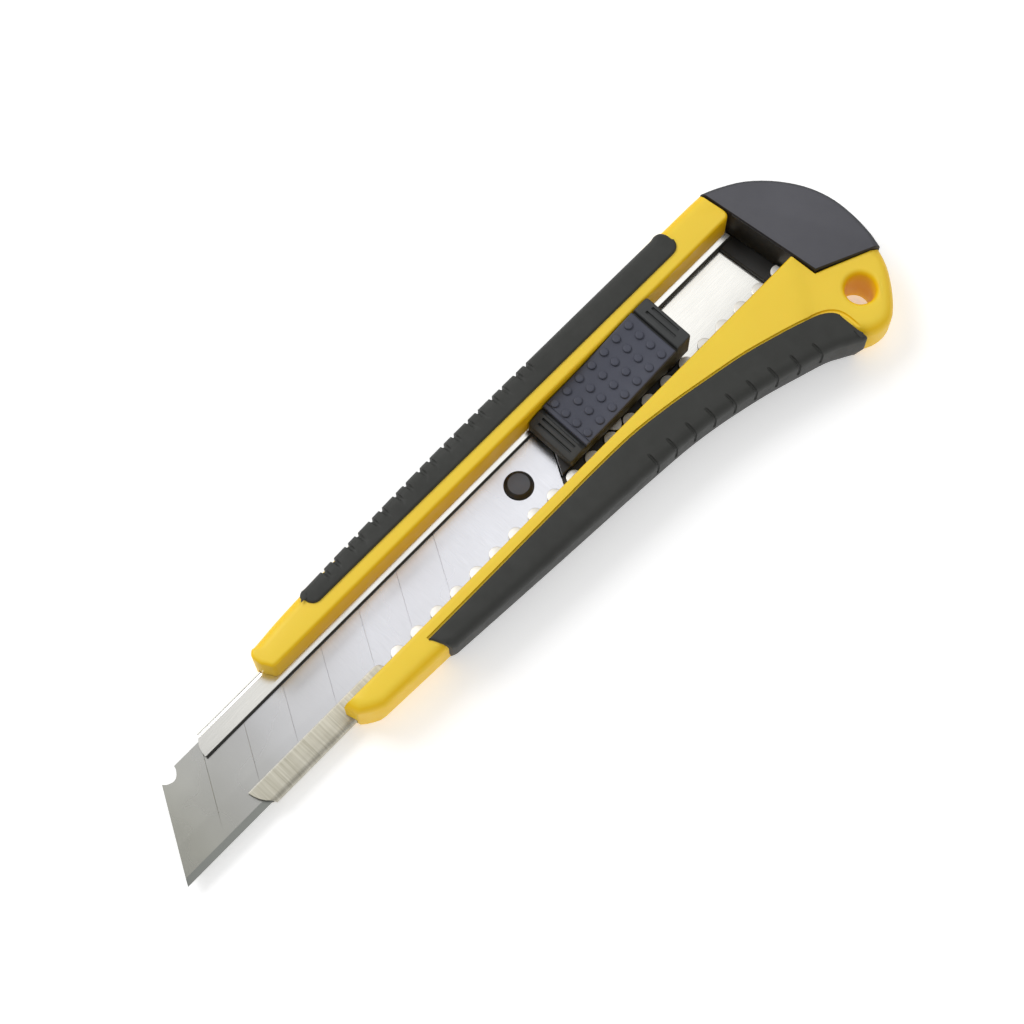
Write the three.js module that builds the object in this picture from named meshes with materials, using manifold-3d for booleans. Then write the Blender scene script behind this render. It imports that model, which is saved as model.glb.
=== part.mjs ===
// A snap-off knife with an 18 mm segmented blade, lying flat on the back of its handle.
// +X runs from the blade's tip to the end cap, +Y from the cutting edge to the blade's spine,
// and +Z rises out of the face that carries the thumb slider. Millimetres.
// The pieces are drawn with x measured along the rail and y from the rail's centreline;
// the last lines move the finished knife so that its origin is the centre of its footprint.
import * as THREE from "three";
import { mergeVertices } from "three/addons/utils/BufferGeometryUtils.js";
import Module from "manifold-3d";

const wasm = await Module();
wasm.setup();

// ---------------------------------------------------------------- driving dimensions
const GAP = 0.1; // between pieces that sit against each other
const SEAM = 0.3; // where the end cap meets the handle

// Heights above the back of the handle
const BODY_TOP = 12;
const BODY_EDGE = 2.6; // radius on the handle's outer edges
const CHANNEL_FLOOR = 1.5; // the handle's back wall
const TAIL_TOP = 11.2;
const TAIL_DIP = { start: 69, end: 76, pivot: [72, -12], turn: -12 }; // where the top falls to the tail

// Plan of the handle, anticlockwise from the lower front corner
const FRONT_LOW = { side: [-44, -13.1], corner: [-47.8, -12.8], end: [-48.8, -9.3] };
const FRONT_HIGH = { end: [-54.2, 8.6], corner: [-55.3, 12], side: [-52, 12.35] };
const BODY_UPPER = [[-42, 13.05], [-15, 13.6], [20, 13.9], [52, 14.05], [67, 14]];
const END_ARC = [
  [71.1, 13.75], [74.9, 12.3], [78.9, 9.9], [82.7, 6.2], [85.6, 1.9], [87.2, -2], [88, -6], [88.1, -10],
  [87.6, -14], [86.6, -17.8], [84.9, -22], [82.3, -25.7], [79.4, -28.5], [77, -30.1], [74.8, -30.35],
  [71.8, -28.2], [69.4, -26.2],
];
const BODY_LOWER = [[59.3, -22.6], [49, -19.9], [35, -17.4], [21, -16.2], [-3.6, -14.8], [-28, -13.4]];

// Steel rail, a C-channel that guides the blade
const SHEET = 0.6;
const RAIL = { width: 20, bottom: CHANNEL_FLOOR + GAP, top: 4.3, front: -73.6, rear: 73 };
const LIP_EDGE = 5.1; // from the centreline to the free edge of each folded lip
const RAIL_BEND = 0.7;
const TAB = { pitch: 5.318, first: -34.82, count: 21, radius: 1.55, root: -7.2 };
const FLUSH = 0.02; // a joined plate stands this far inside the faces that it meets

// Blade
const BLADE = { width: 18, thickness: 0.5, tip: -92.7, length: 101.5, bottom: 2.9, shift: -0.35 };
const SNAP_ANGLE = THREE.MathUtils.degToRad(60);
const SEGMENT = 10.1;
const SEGMENTS = 8;
const SCORE = { width: 0.35, depth: 0.12 };
const GRIND = { wide: 6.5, narrow: 1.4, shoulder: 0.17, edge: 0.02 }; // half thicknesses at each bevel
const BLADE_HEEL = { y: 5.5, chamfer: 4.5 }; // the cut corner at the blade's rear
const NOTCH = { radius: 2, offset: 1 };

// Slot between the two beams of the handle
const SLOT = { low: -7.85, high: 6.5, front: -80, rear: 80 };

// Carrier that holds the blade by its peg
const PEG = { x: 4.7, radius: 2.85, play: 0.15, chamfer: 0.7, top: 4 };
const SEAT = { front: -1, rear: 24, halfWidth: 4.4 }; // the plate under the blade's end
const CARRIER = { bottom: 2.3, rear: 44.9, halfWidth: 8.8, neck: 4.9, under: 3.55, neckTop: 5.1 };
const BOSS = { front: 20, rear: 41, low: -2.6, high: 3.4, top: 7.6 };

// Lock spring: a leaf whose tooth stands midway between two tabs
const LEAF = { front: 18, rear: 41.3, low: -4.75, high: -4.25, bottom: 3.8, top: 4.9, foot: 1.1 };
const TOOTH = { x: TAB.first + 11.5 * TAB.pitch, halfRoot: 1.7, halfTip: 0.35, tip: -6.6 };

// Thumb slider
const SLIDER = { front: 13.75, rear: 47.1, low: -5.2, high: 6.3, bottom: 5.3, top: 12.9 };
const SKIRT_TOP = 7.4; // the slider's straight lower part
const PAD = { front: 18, rear: 42.7, thickness: 1.2 };
const PAD_RISE = [[18, 9.65], [20.5, 9.8], [27.3, 10.2], [34, 11.3], [38, 12.1], [42.7, 12.9]];
const DOTS = { columns: 7, rows: 4, pitchX: 3.42, pitchY: 2.86, radius: 0.75, rise: 0.35 };
const FIRST_DOT = { x: 19.9, y: 4.95 };
const FRONT_GROOVES = { start: 1, pitch: 1.1, width: 0.5, inset: 1.4, bottom: 8.2, rise: 0.42, count: 3 };
const REAR_GROOVES = { start: 1.6, pitch: 1.35, width: 0.55, inset: 1.9, depth: 0.5, count: 2 };
const THUMB_PLAY = 1.2; // room for the slider to move on the carrier's boss

// End cap: its joint with the handle runs across the slot and then along the tail
const CAP_FRONT = { high: [70.5, 15.5], corner: [73.9, -13.2], rear: [94, -21.7] };
const TONGUE = { front: 67.4, rear: 75, halfWidth: 8.6, bottom: 2.35, top: 3.5 };

// Hang hole through the tail
const HOLE = { x: 77.4, y: -21.9, radius: 3.05 };

// Soft grips, which wrap the outer sides of the handle
const GRIP = { top: 12.6, edge: 2.4, flange: 1.2, back: 0.9 };
const UPPER_SIDE = [[60, 14.2], [28, 14.4], [0, 14.45], [-18, 14], [-41, 13.2]];
const LOWER_SIDE = [
  [-31, -13.9], [-3.6, -15.6], [21.6, -17.15], [35.4, -18.4], [49.2, -20.95], [59.5, -23.9], [67, -26.7],
];
const SIDE_ENDS = { upper: [-50, 12.8], lower: [80, -33.2] }; // where the two sides run on to
const UPPER_CORE = 11.8; // the handle's own side under the upper grip
const LOWER_CORE = [
  [-60, -11.4], [-3.6, -12.9], [21, -14.4], [35, -15.7], [49, -18], [59.3, -20.9], [68.6, -24.8],
];
const GROOVE = { width: 0.9, depth: 0.55, bottom: 3, onTop: 1.7 };
const UPPER_RIBS = { first: -34.4, period: 6.62, offset: 2.75, count: 9 }; // a pair of grooves in each period
const LOWER_RIBS = { first: 23.8, period: 4.75, count: 9 };

// ---------------------------------------------------------------- materials
const plastic = (color, roughness) => new THREE.MeshStandardMaterial({ color, roughness, metalness: 0 });
const steel = (color, roughness) => new THREE.MeshStandardMaterial({ color, roughness, metalness: 1 });
const YELLOW = plastic(0xf7cf1c, 0.38);
const RUBBER = plastic(0x3a3a3b, 0.7);
const GREY = plastic(0x55555b, 0.55);
const BLACK = plastic(0x1d1d1e, 0.5);
const PAD_RUBBER = plastic(0x444654, 0.65);
const RAIL_STEEL = steel(0xc9c9c2, 0.25);
const BLADE_STEEL = steel(0xb9bac2, 0.3);
const SPRING_STEEL = steel(0x8f8d86, 0.35);

// ---------------------------------------------------------------- helpers
function solidOf(geometry) {
  const flat = geometry.index ? geometry.toNonIndexed() : geometry.clone();
  flat.deleteAttribute("normal");
  flat.deleteAttribute("uv");
  const merged = mergeVertices(flat, 1e-4);
  return new wasm.Manifold(
    new wasm.Mesh({
      numProp: 3,
      vertProperties: merged.attributes.position.array,
      triVerts: new Uint32Array(merged.index.array),
    }),
  );
}

function meshOf(name, solid, material) {
  const { vertProperties, triVerts } = solid.getMesh();
  const geometry = new THREE.BufferGeometry();
  geometry.setAttribute("position", new THREE.BufferAttribute(vertProperties, 3));
  geometry.setIndex(new THREE.BufferAttribute(triVerts, 1));
  geometry.computeVertexNormals();
  const mesh = new THREE.Mesh(geometry, material);
  mesh.name = name;
  return mesh;
}

const points = (list) => list.map(([x, y]) => new THREE.Vector2(x, y));
const polygon = (list) => new THREE.Shape(points(list));

// A prism over a plan outline, from one height to another.
function prism(shape, low, high, curveSegments = 6) {
  const options = { depth: high - low, bevelEnabled: false, curveSegments };
  return solidOf(new THREE.ExtrudeGeometry(shape, options).translate(0, 0, low));
}

// An outline as straight steps, with no point twice.
function stepped(shape, curveSegments) {
  const steps = shape.getPoints(curveSegments);
  const closed = [...steps, steps[0]];
  return new THREE.Shape(steps.filter((p, i) => p.distanceTo(closed[i + 1]) > 1e-3));
}

// The same with its top and bottom edges rounded.
function roundedPrism(shape, low, high, radius, curveSegments = 2) {
  const geometry = new THREE.ExtrudeGeometry(stepped(shape, curveSegments), {
    depth: high - low - 2 * radius,
    bevelThickness: radius,
    bevelSize: radius,
    bevelOffset: -radius,
    bevelSegments: 3,
  });
  return solidOf(geometry.translate(0, 0, low + radius));
}

// An outline drawn anticlockwise, with every side moved out.
function grown(shape, by) {
  const steps = stepped(shape, 2).getPoints();
  const normal = (a, b) => new THREE.Vector2(b.y - a.y, a.x - b.x).normalize();
  const moved = steps.map((p, i) => {
    const before = normal(steps.at(i - 1), p);
    const after = normal(p, steps[(i + 1) % steps.length]);
    const reach = by / (1 + before.dot(after));
    return p.clone().addScaledVector(before.add(after), reach);
  });
  return new THREE.Shape(moved);
}

function box([x0, y0, z0], [x1, y1, z1]) {
  const geometry = new THREE.BoxGeometry(x1 - x0, y1 - y0, z1 - z0);
  return solidOf(geometry.translate((x0 + x1) / 2, (y0 + y1) / 2, (z0 + z1) / 2));
}

// A section in y and z, drawn out along x.
function alongX(section, x0, x1) {
  const geometry = new THREE.ExtrudeGeometry(polygon(section), { depth: x1 - x0, bevelEnabled: false });
  const turn = new THREE.Matrix4().set(0, 0, 1, x0, 1, 0, 0, 0, 0, 1, 0, 0, 0, 0, 0, 1);
  return solidOf(geometry.applyMatrix4(turn));
}

// A side profile in x and z, drawn out along y.
function alongY(profile, y0, y1) {
  const options = { depth: y1 - y0, bevelEnabled: false, curveSegments: 4 };
  const turn = new THREE.Matrix4().set(1, 0, 0, 0, 0, 0, -1, y1, 0, 1, 0, 0, 0, 0, 0, 1);
  return solidOf(new THREE.ExtrudeGeometry(profile, options).applyMatrix4(turn));
}

// A turned pin or a round hole along z, from its half section.
function turned(section, x, y, sides = 24) {
  return solidOf(new THREE.LatheGeometry(points(section), sides).rotateX(Math.PI / 2).translate(x, y, 0));
}

const cylinder = (x, y, radius, low, high, sides) =>
  turned([[0, low], [radius, low], [radius, high], [0, high]], x, y, sides);

const union = (solids) => solids.reduce((whole, next) => whole.add(next));

// The value at x of a smooth curve through the given points.
function valueAt(list, x) {
  const curve = new THREE.SplineCurve(points(list)).getPoints(80);
  curve.sort((a, b) => a.x - b.x);
  const next = curve.findIndex((p) => p.x >= x);
  const [a, b] = [curve[next - 1], curve[next]];
  return a.y + ((b.y - a.y) * (x - a.x)) / (b.x - a.x);
}

// ---------------------------------------------------------------- handle outline
function bodyOutline() {
  const shape = new THREE.Shape();
  shape.moveTo(...FRONT_LOW.side);
  shape.quadraticCurveTo(...FRONT_LOW.corner, ...FRONT_LOW.end);
  shape.lineTo(...FRONT_HIGH.end);
  shape.quadraticCurveTo(...FRONT_HIGH.corner, ...FRONT_HIGH.side);
  shape.splineThru(points(BODY_UPPER));
  shape.splineThru(points(END_ARC));
  shape.splineThru(points(BODY_LOWER));
  shape.closePath();
  return shape;
}

const capSide = (grow) =>
  polygon([
    [CAP_FRONT.high[0] + grow, CAP_FRONT.high[1] + 4],
    [CAP_FRONT.corner[0] + grow, CAP_FRONT.corner[1] + grow],
    [CAP_FRONT.rear[0], CAP_FRONT.rear[1] + grow],
    [CAP_FRONT.rear[0], CAP_FRONT.high[1] + 4],
  ]);

// ---------------------------------------------------------------- soft grips
function upperGripPlan() {
  const shape = new THREE.Shape();
  shape.moveTo(-38.4, 9.3);
  shape.lineTo(57.2, 8.9);
  shape.bezierCurveTo(59, 9.1, 60, 10.6, 59.8, 12);
  shape.lineTo(59, 17);
  shape.lineTo(-40.6, 17);
  shape.lineTo(-40.4, 12);
  shape.quadraticCurveTo(-40, 10.2, -38.4, 9.3);
  return shape;
}

function lowerGripPlan() {
  const shape = new THREE.Shape();
  shape.moveTo(-30.7, -10.6);
  shape.lineTo(-27, -17);
  shape.lineTo(50, -34);
  shape.lineTo(72.3, -34);
  shape.lineTo(71.7, -23.5);
  shape.bezierCurveTo(71.6, -21, 70.8, -19.8, 68.6, -19);
  shape.splineThru(points([[54.2, -15.2], [44, -13.6], [34, -12.2], [22, -10.9]]));
  shape.closePath();
  return shape;
}

// The outer form of a grip: its rounded side, cut to its plan.
function gripForm(side, end, farY, plan, grow) {
  const shape = new THREE.Shape(points([[side[0][0], farY]]));
  shape.lineTo(side[0][0], side[0][1]);
  shape.splineThru(points(side.slice(1)));
  shape.lineTo(end[0], end[1]);
  shape.lineTo(end[0], farY);
  return roundedPrism(grown(shape, grow), -grow, GRIP.top + grow, GRIP.edge, 1).intersect(
    prism(grown(plan, grow), -1, GRIP.top + 1),
  );
}

const upperForm = (grow) => gripForm(UPPER_SIDE, SIDE_ENDS.upper, -8, upperGripPlan(), grow);
const lowerForm = (grow) => gripForm(LOWER_SIDE, SIDE_ENDS.lower, 8, lowerGripPlan(), grow);

// What stays handle inside each grip.
const upperCore = (shrink) =>
  box([-60, 0, GRIP.back + shrink], [80, UPPER_CORE - shrink, GRIP.top - GRIP.flange - shrink]);

function lowerCore(shrink) {
  const front = LOWER_CORE[0][0];
  const rear = LOWER_CORE.at(-1)[0];
  const shape = polygon([...LOWER_CORE.map(([x, y]) => [x, y + shrink]), [rear - shrink, 0], [front, 0]]);
  return prism(shape, GRIP.back + shrink, GRIP.top - GRIP.flange - shrink);
}

// A cross groove down a grip's side and a little way onto its top; outward is 1 or -1 along y.
function groove(x, side, outward) {
  const { width, depth, bottom, onTop } = GROOVE;
  const slice = (inset, low) => {
    const ends = [side - outward * inset, side + outward];
    return box([x - width / 2, Math.min(...ends), low], [x + width / 2, Math.max(...ends), GRIP.top + 1]);
  };
  return slice(depth, bottom).add(slice(onTop, GRIP.top - depth));
}

function upperGrip() {
  const { first, period, offset, count } = UPPER_RIBS;
  const cuts = [];
  for (let i = 0; i < count; i++)
    for (const x of [first + i * period, first + offset + i * period])
      cuts.push(groove(x, valueAt(UPPER_SIDE, x), 1));
  return upperForm(0).subtract(upperCore(0)).subtract(union(cuts));
}

function lowerGrip() {
  const { first, period, count } = LOWER_RIBS;
  const cuts = [];
  for (let i = 0; i < count; i++) {
    const x = first + i * period;
    cuts.push(groove(x, valueAt(LOWER_SIDE, x), -1));
  }
  return lowerForm(0).subtract(lowerCore(0)).subtract(union(cuts));
}

// ---------------------------------------------------------------- handle
function tailCut() {
  const { start, end, pivot, turn } = TAIL_DIP;
  const profile = polygon([[start, 16], [start, BODY_TOP], [end, TAIL_TOP], [110, TAIL_TOP], [110, 16]]);
  const cut = alongY(profile, -60, 0);
  return cut
    .translate([-pivot[0], -pivot[1], 0])
    .rotate([0, 0, turn])
    .translate([...pivot, 0]);
}

function housing() {
  const halfRail = RAIL.width / 2 + GAP;
  return roundedPrism(bodyOutline(), 0, BODY_TOP, BODY_EDGE)
    .subtract(box([SLOT.front, SLOT.low, CHANNEL_FLOOR], [SLOT.rear, SLOT.high, BODY_TOP + 1]))
    .subtract(box([SLOT.front, -halfRail, CHANNEL_FLOOR], [SLOT.rear, halfRail, RAIL.top + GAP]))
    .subtract(tailCut())
    .subtract(prism(capSide(-SEAM), -1, BODY_TOP + 1))
    .subtract(upperForm(GAP).subtract(upperCore(GAP)))
    .subtract(lowerForm(GAP).subtract(lowerCore(GAP)))
    .subtract(cylinder(HOLE.x, HOLE.y, HOLE.radius, -1, BODY_TOP + 1, 28));
}

function endCap() {
  const { front, rear, halfWidth, bottom, top } = TONGUE;
  const tongue = box([front, -halfWidth, bottom], [rear, halfWidth, top]);
  return roundedPrism(bodyOutline(), 0, BODY_TOP, BODY_EDGE)
    .intersect(prism(capSide(0), -1, BODY_TOP + 1))
    .add(tongue);
}

// ---------------------------------------------------------------- rail
// Half of the channel's section, out to a lip that ends at lipEdge.
function railSide(sign, lipEdge) {
  const { width, bottom, top } = RAIL;
  const outer = width / 2;
  const inner = outer - SHEET;
  const section = [
    [outer - RAIL_BEND, bottom],
    [outer, bottom + RAIL_BEND],
    [outer, top - RAIL_BEND],
    [outer - RAIL_BEND, top],
    [lipEdge, top],
    [lipEdge, top - SHEET],
    [inner, top - SHEET],
    [inner, bottom + SHEET],
  ];
  return section.map(([y, z]) => [sign * y, z]);
}

function railOutline() {
  const w = RAIL.width / 2;
  const { front, rear } = RAIL;
  return polygon([
    [front + 2.3, w + 1],
    [front + 2.1, w - 1],
    [front + 0.7, LIP_EDGE + 2.2],
    [front, LIP_EDGE + 0.6],
    [front + 0.6, -LIP_EDGE],
    [front + 1.2, -LIP_EDGE - 2],
    [front + 2.9, -w + 0.5],
    [front + 3.3, -w - 1],
    [rear + 0.1, -w - 1],
    [rear - 2.9, w + 1],
  ]);
}

// The lower lip, whose free edge is straight at the front and then carries the lock tabs.
function lockLip() {
  const root = -RAIL.width / 2 + 1;
  const centre = -LIP_EDGE - TAB.radius;
  const shape = new THREE.Shape();
  shape.moveTo(RAIL.front - 1, root);
  shape.lineTo(RAIL.rear + 2, root);
  shape.lineTo(RAIL.rear + 2, TAB.root);
  for (let i = TAB.count - 1; i >= 0; i--) {
    const x = TAB.first + i * TAB.pitch;
    shape.lineTo(x + TAB.radius, TAB.root);
    shape.absarc(x, centre, TAB.radius, 0, Math.PI, false);
    shape.lineTo(x - TAB.radius, TAB.root);
  }
  const last = TAB.first - TAB.pitch;
  shape.lineTo(last + TAB.radius, TAB.root);
  shape.absarc(last, centre, TAB.radius, 0, Math.PI / 2, false);
  shape.lineTo(RAIL.front - 1, -LIP_EDGE);
  shape.closePath();
  return prism(stepped(shape, 4), RAIL.top - SHEET + FLUSH, RAIL.top - FLUSH);
}

function rail() {
  const stub = RAIL.width / 2 - 1.6;
  const section = [...railSide(1, LIP_EDGE), ...railSide(-1, stub).reverse()];
  return alongX(section, RAIL.front - 1, RAIL.rear + 1)
    .add(lockLip())
    .intersect(prism(railOutline(), 0, BODY_TOP));
}

// ---------------------------------------------------------------- blade
function bladeSection() {
  const half = BLADE.width / 2;
  const mid = BLADE.bottom + BLADE.thickness / 2;
  const face = [
    [half, BLADE.thickness / 2],
    [-half + GRIND.wide, BLADE.thickness / 2],
    [-half + GRIND.narrow, GRIND.shoulder],
    [-half, GRIND.edge / 2],
  ];
  const upper = face.map(([y, z]) => [y + BLADE.shift, mid + z]);
  const lower = face.map(([y, z]) => [y + BLADE.shift, mid - z]);
  return [...upper, ...lower.reverse()];
}

const slant = (y) => (y + BLADE.width / 2) / Math.tan(SNAP_ANGLE);

function bladeOutline() {
  const half = BLADE.width / 2 + 0.5;
  const at = (x, y) => [x + slant(y), y + BLADE.shift];
  return polygon([
    at(BLADE.tip, -half),
    at(BLADE.tip + BLADE.length, -half),
    at(BLADE.tip + BLADE.length, BLADE_HEEL.y),
    [BLADE.tip + BLADE.length + BLADE_HEEL.chamfer, half + BLADE.shift],
    at(BLADE.tip, half),
  ]);
}

function blade() {
  const high = BLADE.width / 2;
  const top = BLADE.bottom + BLADE.thickness;
  const scores = [];
  for (let i = 1; i < SEGMENTS; i++) {
    const start = BLADE.tip + i * SEGMENT;
    const line = [[0, -high - 1], [SCORE.width, -high - 1], [SCORE.width, high + 1], [0, high + 1]];
    const outline = polygon(line.map(([dx, y]) => [start + dx + slant(y), y + BLADE.shift]));
    scores.push(prism(outline, top - SCORE.depth, top + 1));
  }
  const spineCorner = BLADE.tip + slant(high);
  return alongX(bladeSection(), BLADE.tip - 1, BLADE.tip + BLADE.length + 20)
    .intersect(prism(bladeOutline(), 0, BODY_TOP))
    .subtract(union(scores))
    .subtract(cylinder(spineCorner + NOTCH.offset, high + BLADE.shift, NOTCH.radius, 0, BODY_TOP, 20))
    .subtract(cylinder(PEG.x, 0, PEG.radius + PEG.play, 0, BODY_TOP, 28));
}

// ---------------------------------------------------------------- carrier, lock spring and slider
function carrier() {
  const { bottom, rear, halfWidth, neck, under, neckTop } = CARRIER;
  const bladeEnd = BLADE.tip + BLADE.length + SEAM;
  const edge = (y) => [bladeEnd + slant(y - BLADE.shift), y];
  const flange = polygon([edge(-halfWidth), [rear, -halfWidth], [rear, halfWidth], edge(halfWidth)]);
  const waist = polygon([edge(-neck), [rear, -neck], [rear, neck], edge(neck)]);
  const peg = turned(
    [
      [0, bottom],
      [PEG.radius, bottom],
      [PEG.radius, PEG.top - PEG.chamfer],
      [PEG.radius - PEG.chamfer, PEG.top],
      [0, PEG.top],
    ],
    PEG.x,
    0,
  );
  return prism(flange, bottom, under)
    .add(prism(waist, bottom, neckTop))
    .add(box([SEAT.front, -SEAT.halfWidth, bottom], [SEAT.rear, SEAT.halfWidth, BLADE.bottom - GAP]))
    .add(peg)
    .add(box([BOSS.front, BOSS.low, neckTop - 0.5], [BOSS.rear, BOSS.high, BOSS.top]))
    .subtract(box([LEAF.front - SEAM, -6, under + 0.1], [LEAF.rear + SEAM, LEAF.high + 0.2, 6]));
}

function lockSpring() {
  const { front, rear, low, high, bottom, top } = LEAF;
  const wedge = polygon([
    [TOOTH.x - TOOTH.halfRoot, low + 0.1],
    [TOOTH.x - TOOTH.halfTip, TOOTH.tip],
    [TOOTH.x + TOOTH.halfTip, TOOTH.tip],
    [TOOTH.x + TOOTH.halfRoot, low + 0.1],
  ]);
  return box([front, low, bottom], [rear, high, top])
    .add(prism(wedge, bottom, RAIL.top))
    .add(box([rear - LEAF.foot, low - SEAM, bottom], [rear, high, top]));
}

function padProfile(drop, low) {
  const shape = new THREE.Shape();
  const curve = points(PAD_RISE.map(([x, z]) => [x, z - drop]));
  shape.moveTo(PAD.front, low);
  shape.lineTo(curve[0].x, curve[0].y);
  shape.splineThru(curve.slice(1));
  shape.lineTo(PAD.rear, low);
  shape.closePath();
  return shape;
}

function thumbSlider() {
  const { front, rear, low, high, bottom, top } = SLIDER;
  const base = polygon([[front, bottom], [rear, bottom], [rear, SKIRT_TOP], [front, SKIRT_TOP]]);
  const rampRear = PAD.front - GAP;
  const ramp = polygon([[front, 7], [front, 7.9], [rampRear, 9.6], [rampRear, 7]]);
  const wallFront = PAD.rear + 0.5;
  const wall = polygon([[wallFront, 7], [wallFront, top], [rear - 0.8, top], [rear, top - 0.8], [rear, 7]]);
  const grooves = [];
  for (let i = 0; i < FRONT_GROOVES.count; i++) {
    const { start, pitch, width, inset, bottom: first, rise } = FRONT_GROOVES;
    const x = front + start + i * pitch;
    grooves.push(box([x, low + inset, first + rise * i], [x + width, high - inset, top]));
  }
  for (let i = 0; i < REAR_GROOVES.count; i++) {
    const { start, pitch, width, inset, depth } = REAR_GROOVES;
    const x = PAD.rear + start + i * pitch;
    grooves.push(box([x, low + inset, top - depth], [x + width, high - inset, top + 1]));
  }
  const pocket = box(
    [BOSS.front - THUMB_PLAY, BOSS.low - SEAM, bottom - 1],
    [BOSS.rear + THUMB_PLAY, BOSS.high + SEAM, BOSS.top + SEAM],
  );
  return alongY(base, low, high)
    .add(alongY(padProfile(PAD.thickness + GAP, 6), low, high))
    .add(alongY(ramp, low, high))
    .add(alongY(wall, low, high))
    .subtract(union(grooves))
    .subtract(pocket);
}

function sliderPad() {
  const under = alongY(padProfile(PAD.thickness, 6), SLIDER.low - 1, SLIDER.high + 1);
  const dots = [];
  for (let i = 0; i < DOTS.columns; i++)
    for (let j = 0; j < DOTS.rows; j++) {
      const x = FIRST_DOT.x + i * DOTS.pitchX;
      const y = FIRST_DOT.y - j * DOTS.pitchY;
      const z = valueAt(PAD_RISE, x);
      dots.push(cylinder(x, y, DOTS.radius, z - 0.6, z + DOTS.rise, 10));
    }
  return alongY(padProfile(0, 6.2), SLIDER.low, SLIDER.high).subtract(under).add(union(dots));
}

// ---------------------------------------------------------------- assembly
const knife = new THREE.Group();
knife.add(
  meshOf("housing", housing(), YELLOW),
  meshOf("grip_upper", upperGrip(), RUBBER),
  meshOf("grip_lower", lowerGrip(), RUBBER),
  meshOf("rail", rail(), RAIL_STEEL),
  meshOf("blade", blade(), BLADE_STEEL),
  meshOf("blade_carrier", carrier(), BLACK),
  meshOf("lock_spring", lockSpring(), SPRING_STEEL),
  meshOf("thumb_slider", thumbSlider(), GREY),
  meshOf("slider_pad", sliderPad(), PAD_RUBBER),
  meshOf("end_cap", endCap(), GREY),
);

const footprint = new THREE.Box3().setFromObject(knife);
const centre = footprint.getCenter(new THREE.Vector3());
knife.position.set(-centre.x, -centre.y, -footprint.min.z);

export default knife;
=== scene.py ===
import math

import bmesh
import bpy
from mathutils import Matrix, Vector
from mathutils.geometry import delaunay_2d_cdt


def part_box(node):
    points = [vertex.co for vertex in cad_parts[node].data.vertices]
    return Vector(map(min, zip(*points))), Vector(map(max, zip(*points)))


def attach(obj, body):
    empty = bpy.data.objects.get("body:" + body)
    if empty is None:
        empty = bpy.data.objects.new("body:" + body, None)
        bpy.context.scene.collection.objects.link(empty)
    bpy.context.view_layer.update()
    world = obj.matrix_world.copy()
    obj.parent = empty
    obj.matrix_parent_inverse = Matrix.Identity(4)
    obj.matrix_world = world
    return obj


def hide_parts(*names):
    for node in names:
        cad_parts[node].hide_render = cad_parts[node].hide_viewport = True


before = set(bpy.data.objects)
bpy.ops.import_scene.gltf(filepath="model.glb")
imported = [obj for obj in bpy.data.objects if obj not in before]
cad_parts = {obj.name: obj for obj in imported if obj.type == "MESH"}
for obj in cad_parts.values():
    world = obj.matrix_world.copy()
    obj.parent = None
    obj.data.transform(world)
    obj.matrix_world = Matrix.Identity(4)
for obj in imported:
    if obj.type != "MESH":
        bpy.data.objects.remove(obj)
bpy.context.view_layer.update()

# A snap-off knife lying on its back. All shapes below are in millimetres in the knife's own
# drawing frame: x along the rail from the blade's tip to the end cap, y from the rail's
# centreline towards the blade's spine, z up from the back. TO_ROW moves them into the frame.
MM = 0.001
BLADE_TIP = -92.7
RAIL_TOP = 4.3
rail_low, rail_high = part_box("rail")
TO_ROW = Vector((
    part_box("blade")[0].x / MM - BLADE_TIP,
    (rail_low.y + rail_high.y) / 2 / MM,
    rail_high.z / MM - RAIL_TOP,
))

# ---------------------------------------------------------------- sizes
BODY_TOP = 12.0
BACK_WALL = 1.5
TAIL_TOP = 11.2
SLOT_HIGH = 6.5  # the slot between the two beams, in y
SLOT_LOW = -7.85
HOLE = (77.4, -21.9, 3.05)  # the hang hole's centre and radius
SEAM = 0.28  # the gap between the handle and the end cap
GRIP_TOP = 12.6
RAIL_BOTTOM = 1.6
RAIL_HALF = 10.0
RAIL_BEND = 1.1
SHEET = 0.6
LIP_EDGE = 5.1
TAB_FIRST = -34.82  # the lock tabs along the rail's lower lip
TAB_PITCH = 5.318
TAB_COUNT = 21
TAB_RADIUS = 1.55
TAB_ROOT = -7.2
BLADE_WIDTH = 18.0
BLADE_THICKNESS = 0.5
BLADE_BOTTOM = 2.9
BLADE_SHIFT = -0.35  # the blade's play in the channel
BLADE_LENGTH = 101.5
GRIND = 1.4  # the width of the ground bevel at the cutting edge
SEGMENT = 10.1
SCORE_LINES = 7
SNAP_SLOPE = 1 / math.tan(math.radians(60))
PEG_X = 4.7
PEG_RADIUS = 2.85
CARRIER_REAR = 44.9
CARRIER_HALF = 8.8
UNDER = 3.55  # the carrier's top where the rail's lips pass over it
NECK_TOP = 5.1
BOSS = (20.0, 41.0, -2.6, 3.4, 7.6)  # x, x, y, y and top
LEAF = (18.0, 41.3, -4.75, -4.25, 3.8, 4.9)  # x, x, y, y, bottom and top
SLIDER = (13.75, 47.1, -5.2, 6.3, 5.3, 12.9)  # x, x, y, y, bottom and top
PAD_FRONT = 18.0
PAD_REAR = 42.7

# ---------------------------------------------------------------- outlines


def arc(cx, cy, radius, start, end, steps):
    """Points along an arc, in degrees."""
    angles = [math.radians(start + (end - start) * i / steps) for i in range(steps + 1)]
    return [(cx + radius * math.cos(a), cy + radius * math.sin(a)) for a in angles]


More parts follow.
